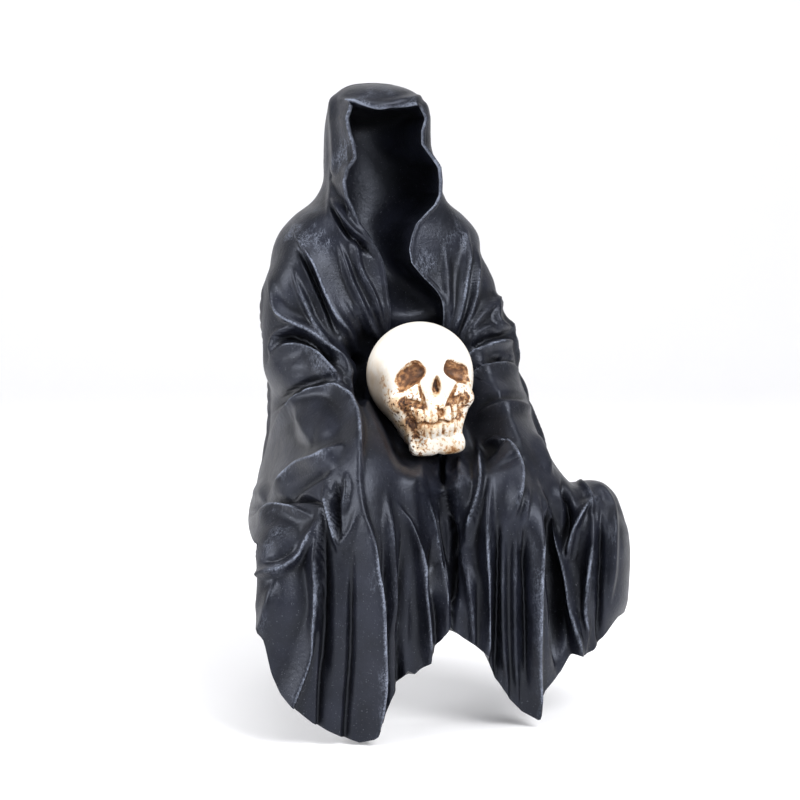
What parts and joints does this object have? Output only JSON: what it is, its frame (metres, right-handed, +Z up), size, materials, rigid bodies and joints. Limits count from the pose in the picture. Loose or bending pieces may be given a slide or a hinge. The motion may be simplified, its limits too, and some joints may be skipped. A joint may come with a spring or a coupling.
{
  "type": "grim reaper shelf sitter figurine",
  "caption": "Hooded, empty-robed reaper figurine that sits on a shelf's edge with a skull in its lap and its torn robe hanging over the front.",
  "frame": {"origin": "on the flat underside of the seat, above the shelf, 22 mm behind the shelf's front edge", "axes": "+X to the figure's left, +Y to its back, +Z up; the figure faces -Y"},
  "size_m": [0.076, 0.0684, 0.1212],
  "materials": {
    "robe": "cast resin painted black, with a blue-grey dry brush on the folds",
    "skull": "cast resin painted ivory, with a brown wash in the hollows"
  },
  "bodies": {
    "root": {"robe": "robe", "skull": "skull"}
  },
  "joints": []
}
